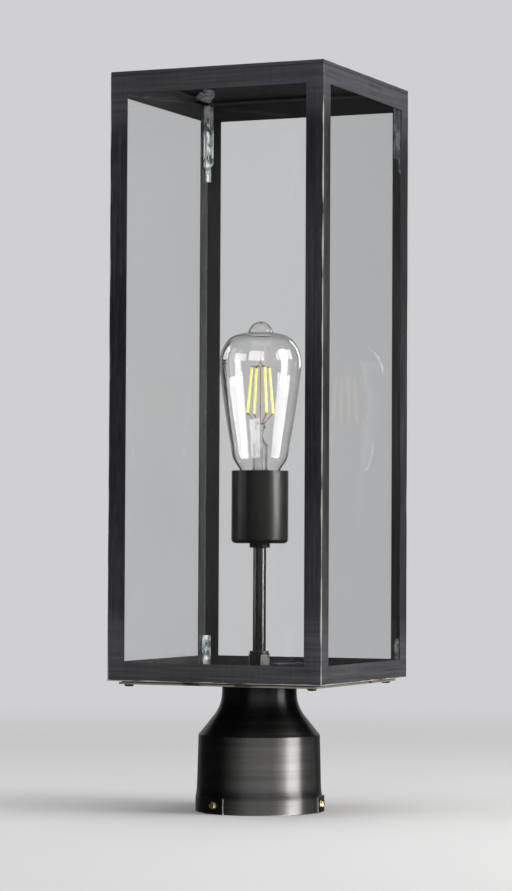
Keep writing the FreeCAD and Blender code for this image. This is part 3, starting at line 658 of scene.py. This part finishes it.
inside = foot_tube - foot_wall
foot = [(0, 0), (pump_tube, 0), (pump_tube, 22.5), (pump_tube + 0.5, 23.8), (inside - 0.6, 24.0), (inside, 22.8)]
foot += [(inside, 8.2), (6.2, 5.4), (8.4, 2.6), (foot_edge - foot_wall, 0), (foot_edge, 0), (foot_edge, 0.5)]
foot += [(9.0, 3.2), (6.9, 6.0), (foot_tube, 9.0), (foot_tube, 24.4), (5.2, 26.2), (3.4, 28.8), (2.5, 30.6)]
foot += [(pump_tube, 32.0), (pump_tube, 36.8)]
foot += [(bead_radius * cos(radians(turn)), bead_height + bead_radius * sin(radians(turn)))
         for turn in range(-45, 91, 15)]
outline = [(radius, cap_rim + height) for radius, height in foot]
glass_foot = turned("glass_foot", outline, 64, 50)
for vertex in glass_foot.data.vertices:
    if vertex.co.z / mm - cap_rim > pressed_from:
        lump = noise.noise(vertex.co * 620.0) + 0.8 * noise.noise(vertex.co * 1300.0)
        vertex.co += Vector((vertex.co.x, vertex.co.y, 0)) * lump * 0.3
pressed_glass = clear_glass("pressed_glass", (0.97, 0.97, 0.965), (0.96, 0.96, 0.96), (0.5, 0.5), 650.0, 0.45)
pressed_glass.node_tree.nodes["Principled BSDF"].inputs["IOR"].default_value = 1.36
fitted(glass_foot, pressed_glass, "bulb", "bulb_glass", "bulb_mount")

hub_level = 346.49
hub = [(0, -1.7), (0.9, -1.7), (1.6, -1.35), (2.1, -0.75), (2.3, 0), (2.1, 0.75), (1.6, 1.35), (0.9, 1.7), (0, 1.7)]
fitted(turned("glass_hub", [(radius, hub_level + height) for radius, height in hub], 48, 60), pressed_glass, "bulb",
       "bulb_glass", "support_hub")

# ---------------------------------------------------------------- filaments
# Four sticks of yellow phosphor on a thin carrier, splayed towards their feet, with a coppery
# wire from the bead to each foot and from the centre support to each top.

stick_length = 36.0
stick_radius = 1.1
stick_turn = 49.0
stick_top = 7.6
stick_foot = (11.0, 51.0)
wire_radius = 0.35
hook_height = 99.0
bead_sleeve = 1.9
stick_sleeve = 2.2

phosphor = finish("yellow_phosphor", (0.93, 0.76, 0.17), (0.98, 0.87, 0.34), (0.4, 0.55), clouds=300.0,
                  specks=1600.0, relief=(0.3, 0.1), Subsurface_Weight=0.1)
copper = finish("lead_wire", (0.20, 0.10, 0.06), (0.42, 0.27, 0.18), (0.3, 0.45), clouds=300.0, Metallic=0.9)


def merged(name, pieces):
    """Joins several meshes into the first."""
    pick(pieces[0])
    for piece in pieces:
        piece.select_set(True)
    bpy.ops.object.join()
    pieces[0].name = name
    return pieces[0]


def above_cap(height):
    """The point on the axis that far above the cap's rim, in mm."""
    return Vector((0, 0, cap_rim + height))


lean = sqrt(stick_length ** 2 - (stick_foot[0] - stick_top) ** 2)
outline = [(0, 0), (0.55, 0.02), (0.95, 0.2), (stick_radius, 0.55)]
outline += [(stick_radius - 0.05 * (step % 2), 0.55 + (stick_length - 1.1) * step / 24) for step in range(1, 24)]
outline += [(stick_radius, stick_length - 0.55), (0.95, stick_length - 0.2), (0.55, stick_length - 0.02)]
stick = turned("stick", outline + [(0, stick_length)], 24, 60)
sticks = []
ends = []
for number in range(4):
    turn = radians(stick_turn + 90 * number)
    out = Vector((cos(turn), sin(turn), 0))
    low = out * stick_foot[0] + above_cap(stick_foot[1])
    high = out * stick_top + above_cap(stick_foot[1] + lean)
    ends.append((low, high, out))
    slope = (high - low).to_track_quat("Z", "Y").to_matrix().to_4x4()
    sticks.append(copied(stick, "stick", Matrix.Translation(low * mm) @ slope))
bpy.data.objects.remove(stick)
fitted(merged("filament_sticks", sticks), phosphor, "bulb", "filament", "filaments")

wires = bpy.data.curves.new("lead_wires", "CURVE")
wires.dimensions = "3D"
wires.bevel_depth = wire_radius * mm
wires.bevel_resolution = 3
wires.use_fill_caps = True
bead = above_cap(bead_height)
hub = Vector((0, 0, hub_level))
runs = [([bead + Vector((0, 0, 3.4)), bead + Vector((0, 0, 30)), hub - Vector((0, 0, 1.65))], 1),
        ([hub + Vector((0, 0, 1.65)), hub + Vector((0, 0, 6)), above_cap(hook_height - 0.4)], 1)]
for low, high, out in ends:
    leaving = bead + (low - bead).normalized() * (bead_radius - 0.1)
    along = (high - low).normalized()
    runs.append(([leaving, leaving.lerp(low, 0.55) + out * 0.4, low + (high - low) * 0.01], 1))
    runs.append(([leaving, leaving.lerp(low, 0.12)], bead_sleeve))
    runs.append(([low - along * 0.9, low + along * 0.1], stick_sleeve))
    runs.append(([hub + (high - hub).normalized() * 2.2, high + Vector((0, 0, 0.4)), high - (high - low) * 0.01], 1))
    runs.append(([high - along * 0.1, high + along * 1.0], stick_sleeve))
for run, thickness in runs:
    line = wires.splines.new("NURBS")
    line.points.add(len(run) - 1)
    for point, place in zip(line.points, run):
        point.co = (*(place * mm), 1)
        point.radius = thickness
    line.use_endpoint_u = True
    line.order_u = min(3, len(run))
loose = bpy.data.objects.new("lead_wires_curve", wires)
scene.collection.objects.link(loose)
pick(loose)
bpy.ops.object.convert(target="MESH")
loose.name = "lead_wires"
bpy.ops.object.shade_smooth()
fitted(loose, copper, "bulb", "lead_wire", "bulb_wires")

# ---------------------------------------------------------------- cage
# Twelve lengths of folded steel angle, mitred where three of them meet, soldered and brushed
# with charcoal paint. The faces are scuffed and the outer edges rubbed through. Towards the
# rails the charcoal is painted lighter: a painted sheen.

angle_rounding = 0.45
rail_reach = 14.3
painted_sheen_reach = 36.0
cage_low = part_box("bottom_rail_front")[0]
cage_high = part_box("roof_plate")[1]
cage_middle = (cage_low.z + cage_high.z) / 2


def softened_square(piece, width):
    """Rounds only the edges between faces that lie square, so a mitre stays tight and shut."""
    mesh = piece.data
    square = [max(abs(part) for part in face.normal) > 0.999 for face in mesh.polygons]
    beside = {}
    for face in mesh.polygons:
        for key in face.edge_keys:
            beside.setdefault(key, []).append(face.index)
    weights = mesh.attributes.new("bevel_weight_edge", "FLOAT", "EDGE")
    for edge in mesh.edges:
        faces = beside.get(edge.key, ())
        turns = len(faces) == 2 and all(square[face] for face in faces) \
            and abs(mesh.polygons[faces[0]].normal.dot(mesh.polygons[faces[1]].normal)) < 0.5
        weights.data[edge.index].value = 1.0 if turns else 0.0
    return softened(piece, width, limit="WEIGHT")


charcoal = edge_worn_paint("charcoal_paint", cage_high.x, cage_low.z, cage_high.z, 0.85, (0.42, 0.41, 0.40),
                           (0.0135, 0.0132, 0.0160), (0.036, 0.0355, 0.041))
tree = charcoal.node_tree
place = tree.nodes["where"].outputs["Object"]
axes = wired(tree, "SeparateXYZ", {0: place})
# Painted sheen: from partway up each post to its ends, and all over the rails, the charcoal is mixed towards a paler
# grey. This stands for the light that the brushed angle catches there.
middle = wired(tree, "Math", {0: axes.outputs[2], 1: cage_middle}, operation="SUBTRACT")
away = wired(tree, "Math", {0: middle.outputs[0]}, operation="ABSOLUTE")
ragged = wired(tree, "Math", {0: tree.nodes["grain"].outputs["Cloud"], 1: 18 * mm, 2: away.outputs[0]},
               operation="MULTIPLY_ADD")
reach = (cage_high.z - cage_low.z) / 2 - rail_reach * mm
painted_sheen_share = wired(tree, "MapRange", {"Value": ragged.outputs[0], "From Min": reach - painted_sheen_reach * mm, "From Max": reach,
                                 "To Max": 0.74}, interpolation_type="SMOOTHSTEP")
paint_with_sheen = wired(tree, "Mix", {0: painted_sheen_share.outputs[0], 6: tree.nodes["colour"].outputs[2], 7: (0.067, 0.066, 0.077, 1)},
                data_type="RGBA")
lines = []
for stretch in ((1, 1, 0.025), (0.03, 0.03, 1)):
    mapping = wired(tree, "Mapping", {"Vector": place, "Scale": stretch})
    strokes = wired(tree, "TexNoise", {"Vector": mapping.outputs[0], "Scale": 520.0, "Detail": 4.0})
    lines.append(strokes.outputs["Fac"])
crossed = wired(tree, "Mix", {0: painted_sheen_share.outputs[0], 2: lines[0], 3: lines[1]})
stroke_depth = wired(tree, "MapRange", {"Value": crossed.outputs[0], "From Min": 0.3, "From Max": 0.7,
                                        "To Min": 0.62, "To Max": 1.42})
stroked = wired(tree, "VectorMath", {0: paint_with_sheen.outputs[2], "Scale": stroke_depth.outputs[0]}, operation="SCALE")
tree.links.new(stroked.outputs[0], tree.nodes["bare"].inputs[6])

# Painted shade: the faces that look into the cage get a slightly darker, duller copy of the paint, without the
# painted sheen or the rubbed edges.
inward_shade_paint = finish("inward_shade_paint", (0.0115, 0.0115, 0.0130), (0.030, 0.030, 0.033), (0.5, 0.7), clouds=30.0,
                     specks=400.0, stretch=(1, 1, 0.4), relief=(0.12, 0.3))
angles = [f"post_{corner}" for corner in ("front_left", "front_right", "back_right", "back_left")]
angles += [f"{level}_rail_{side}" for level in ("bottom", "top") for side in ("front", "right", "back", "left")]
for angle in angles:
    bar = softened_square(copy_of(angle, f"angle_{angle}"), angle_rounding)
    fitted(bar, charcoal, "cage", "frame_paint", angle)
    bar.data.materials.append(inward_shade_paint)
    for face in bar.data.polygons:
        level = face.center.z - cage_middle
        outward = face.center.x * face.normal.x + face.center.y * face.normal.y
        if outward < -0.01 or (abs(face.normal.z) > 0.9 and face.normal.z * level < 0):
            face.material_index = 1
fitted(softened(copy_of("corner_gussets", "tapped_gussets"), 0.25, 1), plated, "cage", "zinc_steel", "corner_gussets")

# ---------------------------------------------------------------- roof
# A steel sheet with its rim folded down onto the upper rails, soldered and painted like them. Its
# underside, which shows through the panes, is a much darker, dull copy of the paint: painted shade.

roof_paint = edge_worn_paint("roof_paint", cage_high.x, cage_low.z, cage_high.z, 0.5, (0.22, 0.22, 0.22),
                             (0.045, 0.0445, 0.052), (0.060, 0.059, 0.069))
# Painted shade: the underside gets a much darker, dull copy of the roof paint.
roof_shade_paint = finish("roof_underside_painted_shade", (0.006, 0.006, 0.0065), (0.016, 0.0155, 0.0165), (0.5, 0.7), clouds=20.0,
                   specks=400.0)
sheet = softened(copy_of("roof_plate", "roof_sheet"), 0.6)
fitted(sheet, roof_paint, "cage", "frame_paint", "roof_plate")
sheet.data.materials.append(roof_shade_paint)
for face in sheet.data.polygons:
    if face.normal.z < -0.9:
        face.material_index = 1

# ---------------------------------------------------------------- panes
# Four panes of clear float glass. Their seamed edges are grey-green, because light runs along
# inside the sheet and comes out there.

pane_clear = clear_glass("pane_glass", (0.975, 0.980, 0.976), (0.94, 0.945, 0.94))
seamed_edge = finish("pane_edge", (0.14, 0.19, 0.19), (0.36, 0.44, 0.43), (0.3, 0.5), clouds=260.0, specks=900.0,
                     relief=(0.4, 0.2))
for side in ("front", "right", "back", "left"):
    pane = softened(copy_of(f"pane_{side}", f"glass_{side}"), 0.25, 1)
    fitted(pane, pane_clear, "cage", "pane_glass", f"pane_{side}")
    pane.data.materials.append(seamed_edge)
    across = 0 if side in ("left", "right") else 1
    for face in pane.data.polygons:
        if abs(face.normal[across]) < 0.5:
            face.material_index = 1

# ---------------------------------------------------------------- sealant
# Grey sealant pushed into the inner corners over the pane edges, high up and low down. It was
# put on by hand, so it is lumpy, uneven in width and shiny on its ridges.

smear = finish("grey_sealant", (0.085, 0.10, 0.115), (0.42, 0.45, 0.47), (0.18, 0.42), clouds=170.0, specks=700.0,
               stretch=(1, 1, 0.5), relief=(0.5, 0.6), flecks=0.6, Metallic=0.45)
smear_section = [(9.6, 0.0), (9.4, 0.22), (7.6, 0.45), (6.0, 0.6), (4.8, 1.0), (3.8, 1.5), (3.0, 1.9), (2.2, 2.3),
                 (1.6, 3.0), (1.1, 3.7), (0.6, 4.3), (0.25, 4.6), (0.0, 4.7), (0.0, 0.0)]
smear_body = 4.5 * mm
run_step = 1.1
upper_clear = 9.0
patch_size = (7.0, 42.0, 1.25)
patch_place = (17.0, 43.0)
patch_turn = 28

for beads, film in (("upper_beads", 1.0), ("lower_beads", 0.55)):
    low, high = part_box(beads)
    height = (high.z - low.z) / mm
    upper = beads == "upper_beads"
    runs = []
    for quarter in range(4):
        run = drawn("sealant_run", [(out, -along, 0) for along, out in smear_section])
        bpy.ops.mesh.edge_face_add()
        steps = int(height / run_step)
        for step in range(steps):
            bpy.ops.mesh.extrude_region_move(TRANSFORM_OT_translate={"value": (0, 0, (high.z - low.z) / steps)})
        bpy.ops.object.mode_set(mode="OBJECT")
        for vertex in run.data.vertices:
            place = vertex.co.copy()
            seed = place + Vector((0, 0, 0.7 * quarter))
            lump = noise.noise(seed * 210.0) + 0.6 * noise.noise(seed * 520.0)
            rise = place.z / mm if upper else height - place.z / mm
            fading = min(1, 0.35 + rise / 9.0)
            if place.y < -smear_body:
                reach = film * (0.82 + 0.35 * noise.noise(Vector((5.0 * quarter, 0, seed.z * 120.0)))) * fading
                vertex.co.y = -smear_body + (place.y + smear_body) * reach
            if place.x > 0.05 * mm and place.y < -0.05 * mm:
                thin = min(place.x, -place.y) * 0.3
                vertex.co.x += lump * thin
                vertex.co.y -= lump * thin * 0.8
            if upper:
                ragged = noise.noise(Vector((place.x * 300.0, quarter, 0)))
                swell = max(0.55, min(1, (rise - upper_clear) / 3.0 + ragged))
                vertex.co.x *= swell
                vertex.co.y *= swell
        run.data.transform(Matrix.Rotation(pi / 2 * quarter, 4, "Z") @ Matrix.Translation((low.x, high.y, low.z)))
        runs.append(run)
        if upper and quarter == 0:
            pick(None)
            bpy.ops.mesh.primitive_uv_sphere_add(segments=40, ring_count=20, radius=mm)
            patch = bpy.context.object
            patch.data.transform(Matrix.Diagonal((*patch_size, 1)))
            for vertex in patch.data.vertices:
                seed = vertex.co.copy()
                vertex.co *= 1 + 0.3 * noise.noise(seed * 160.0) + 0.12 * noise.noise(seed * 500.0)
            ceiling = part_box("roof_plate")[0].z
            corner = Vector((low.x + patch_place[0] * mm, high.y - patch_place[1] * mm, ceiling))
            patch.data.transform(Matrix.Translation(corner) @ Matrix.Rotation(radians(patch_turn), 4, "Z"))
            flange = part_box("post_back_left")[1].y - rail_reach * mm - 0.3 * mm
            for vertex in patch.data.vertices:
                place = vertex.co
                under = high.z if max(abs(place.x), abs(place.y)) > flange else ceiling
                place.z = min(place.z, under - 0.03 * mm)
                place.x = max(-high.x, min(high.x, place.x))
                place.y = max(-high.y, min(high.y, place.y))
            runs.append(patch)
    sealant = merged(f"sealant_{beads}", runs)
    tidy_shell(sealant, 60)
    fitted(sealant, smear, "cage", "sealant", beads)

# ---------------------------------------------------------------- studio
# Pale grey floor that fades into a backdrop of the same grey, a tall soft lamp on the right, a
# weaker one on the left and soft light from above. Small lamps inside the cage only give the
# bulb its window-shaped highlights, and two low ones only light the fitter.

camera_turn = radians(23.66)
backdrop_grey = (0.63, 0.63, 0.645)
floor_radius = 6.0
floor_fade = (0.5, 1.6)
floor_in_metal = 0.05
mirror_height = (0.064, 0.075)
floor_lobes = ((24, 105, 25, 1.5), (54, 24, 6, 2.2), (67, 18, 11, 13.5), (108, 34, 12, 0.5))
room_dark = 0.03
room_lobes = ((-10, 30, 19, 0.5), (27, 26, 14, 0.4), (180, 42, 28, 0.4))


def lobe(tree, direction, azimuth, start, full, strength):
    """How bright the room is round one azimuth, for reflections."""
    turn = camera_turn + radians(azimuth)
    facing = wired(tree, "VectorMath", {0: direction, 1: (sin(turn), -cos(turn), 0)}, operation="DOT_PRODUCT")
    spread = wired(tree, "MapRange", {"Value": facing.outputs["Value"], "From Min": cos(radians(start)),
                                      "From Max": cos(radians(full)), "To Max": strength},
                   interpolation_type="SMOOTHSTEP")
    return spread.outputs[0]


def lobes(tree, direction, ground, parts):
    """The lobes of a room, added up on its ground level."""
    total = ground
    for part in parts:
        total = wired(tree, "Math", {0: total, 1: lobe(tree, direction, *part)}, operation="ADD").outputs[0]
    return total


def levelled(tree, direction, flattening):
    """A direction laid flat, for the lobes."""
    flat = wired(tree, "VectorMath", {0: direction, 1: flattening}, operation="MULTIPLY")
    return wired(tree, "VectorMath", {0: flat.outputs[0]}, operation="NORMALIZE").outputs[0]


def seen_by(tree, kind):
    """1 for light that has met such a surface since the camera: "Diffuse" or "Glossy"."""
    path = wired(tree, "LightPath")
    return wired(tree, "Math", {0: path.outputs[f"{kind} Depth"], 1: 0.5}, operation="GREATER_THAN").outputs[0]


def chosen(tree, share, first, second):
    """The first shader, or the second where the share is 1."""
    return wired(tree, "MixShader", {0: share, 1: first, 2: second}).outputs[0]


pick(None)
bpy.ops.mesh.primitive_circle_add(vertices=128, radius=floor_radius, fill_type="NGON")
floor = bpy.context.object
floor.name = "studio_floor"
paper = bpy.data.materials.new("floor_paper")
paper.use_nodes = True
tree = paper.node_tree
diffuse = tree.nodes["Principled BSDF"]
diffuse.inputs["Base Color"].default_value = (0.78, 0.78, 0.79, 1)
diffuse.inputs["Roughness"].default_value = 0.9
diffuse.inputs["Specular IOR Level"].default_value = 0.1
glow = wired(tree, "Emission", {"Color": (*backdrop_grey, 1)})
where = wired(tree, "TexCoord")
distance = wired(tree, "VectorMath", {0: where.outputs["Object"]}, operation="LENGTH")
fade = wired(tree, "MapRange", {"Value": distance.outputs["Value"], "From Min": floor_fade[0],
                                "From Max": floor_fade[1]}, interpolation_type="SMOOTHSTEP")
plain = chosen(tree, fade.outputs[0], diffuse.outputs[0], glow.outputs[0])
# In a mirror image the floor has its brightness from its direction, as a room does, and only what
# is as low as the bell's skirt shows its bright parts. For light that has left a mirror, Incoming
# leads back to that mirror, so nothing here follows the camera.
came_from = wired(tree, "NewGeometry").outputs["Incoming"]
rising = wired(tree, "SeparateXYZ", {0: came_from})
path = wired(tree, "LightPath")
height = wired(tree, "Math", {0: rising.outputs[2], 1: path.outputs["Ray Length"]}, operation="MULTIPLY")
mirrored = lobes(tree, levelled(tree, came_from, (-1, -1, 0)), floor_in_metal, floor_lobes)
near = wired(tree, "MapRange", {"Value": height.outputs[0], "From Min": mirror_height[0],
                                "From Max": mirror_height[1], "To Min": mirrored, "To Max": floor_in_metal},
             interpolation_type="SMOOTHSTEP")
cloth = wired(tree, "Emission", {"Color": (1, 0.99, 0.965, 1), "Strength": near.outputs[0]})
plain = chosen(tree, seen_by(tree, "Glossy"), plain, cloth.outputs[0])
plain = chosen(tree, seen_by(tree, "Diffuse"), plain, diffuse.outputs[0])
tree.links.new(plain, tree.nodes["Material Output"].inputs["Surface"])
paper.cycles.emission_sampling = "NONE"
floor.data.materials.append(paper)

world = bpy.data.worlds.new("studio_world")
scene.world = world
world.use_nodes = True
tree = world.node_tree
ambient = tree.nodes["Background"]
ambient.inputs["Color"].default_value = (1, 1, 1, 1)
ambient.inputs["Strength"].default_value = 0.42
backdrop = wired(tree, "Background", {"Color": (*backdrop_grey, 1)})
where = wired(tree, "TexCoord")
bright = lobes(tree, levelled(tree, where.outputs["Generated"], (1, 1, 0)), room_dark, room_lobes)
room = wired(tree, "Background", {"Strength": bright})
plain = chosen(tree, seen_by(tree, "Glossy"), backdrop.outputs[0], room.outputs[0])
plain = chosen(tree, seen_by(tree, "Diffuse"), plain, ambient.outputs[0])
tree.links.new(plain, tree.nodes["World Output"].inputs["Surface"])
world.cycles.sampling_method = "NONE"

camera_rise = radians(-1.79)
camera_roll = radians(-0.28)
camera_distance = 2.420
camera_aside = 0.0036
camera_height = 0.284
back = Vector((sin(camera_turn) * cos(camera_rise), -cos(camera_turn) * cos(camera_rise), sin(camera_rise)))
right = Vector((cos(camera_turn), sin(camera_turn), 0))
up = back.cross(right)
camera_at = back * camera_distance - right * camera_aside + Vector((0, 0, camera_height))


def soft_lamp(name, azimuth, elevation, distance, size, radiance, aim=0.3):
    """Rectangular lamp, aimed at that height; azimuth in degrees right of the camera, size in metres."""
    turn = camera_turn + radians(azimuth)
    out = Vector((sin(turn), -cos(turn), 0)) * cos(radians(elevation)) + Vector((0, 0, sin(radians(elevation))))
    data = bpy.data.lights.new(name, "AREA")
    data.shape = "RECTANGLE"
    data.size, data.size_y = size
    data.energy = radiance * pi * size[0] * size[1]
    lamp = bpy.data.objects.new(name, data)
    scene.collection.objects.link(lamp)
    lamp.location = out * distance + Vector((0, 0, aim))
    lamp.rotation_euler = out.to_track_quat("Z", "Y").to_euler()
    return lamp


right_softbox = soft_lamp("right_softbox", 71, 15, 1.5, (0.60, 1.25), 9.5)
right_softbox.data.color = (1, 0.98, 0.94)
soft_lamp("top_softbox", 0, 80, 2.2, (1.8, 1.8), 1.0).visible_glossy = False
soft_lamp("left_fill", -80, 15, 1.8, (1.2, 1.4), 1.7).visible_glossy = False


def linked(lamp, state, *pieces):
    """Light linking: INCLUDE lights these pieces alone, and EXCLUDE all pieces but these."""
    receivers = bpy.data.collections.new(f"{lamp.name}_pieces")
    for number, piece in enumerate(pieces):
        receivers.objects.link(bpy.data.objects[piece])
        receivers.collection_objects[number].light_linking.link_state = state
    lamp.light_linking.receiver_collection = receivers
    lamp.visible_camera = False


window_distance = 0.070
for name, azimuth, sideways, heights, radiance in (
        ("left_low", -78, (-10, 50), (237, 331), 13.0), ("right_low", 70, (-38, 10), (239, 332), 13.0),
        ("mid_low", -20, (-14, 24), (228, 291), 8.0), ("left_high", -64, (0, 40), (352, 374), 10.0),
        ("mid_high", -12, (-18, 26), (352, 385), 11.0), ("right_high", 72, (-50, 12), (357, 386), 10.0),
        ("far_left", -117, (10, 34), (357, 392), 6.0), ("right_rim", 140, (-30, -14), (345, 405), 4.5)):
    size = ((sideways[1] - sideways[0]) * mm, (heights[1] - heights[0]) * mm)
    pane_light = soft_lamp(name, azimuth, 0, window_distance, size, radiance, sum(heights) / 2 * mm)
    turn = camera_turn + radians(azimuth + 90)
    pane_light.location += Vector((sin(turn), -cos(turn), 0)) * sum(sideways) / 2 * mm
    pane_light.visible_transmission = False
    linked(pane_light, "INCLUDE", "pear_glass")
linked(right_softbox, "EXCLUDE", "fitter_bell", "pear_glass")
for name, azimuth, size, radiance in (("fitter_strip", 70, (0.55, 0.18), 9.0),
                                      ("fitter_front", 15, (2.2, 0.18), 1.0)):
    low_lamp = soft_lamp(name, azimuth, 7, 1.3, size, radiance, 0.03)
    linked(low_lamp, "INCLUDE", "fitter_bell")

data = bpy.data.cameras.new("photo_camera")
data.sensor_fit = "VERTICAL"
data.sensor_height = 24.0
data.lens = 83.53
data.clip_start = 0.05
data.clip_end = 50.0
camera = bpy.data.objects.new("photo_camera", data)
scene.collection.objects.link(camera)
across = right * cos(camera_roll) - up * sin(camera_roll)
upward = right * sin(camera_roll) + up * cos(camera_roll)
axes = Matrix((across, upward, back)).transposed().to_4x4()
camera.matrix_world = Matrix.Translation(camera_at) @ axes
scene.camera = camera
scene.view_settings.view_transform = "Standard"
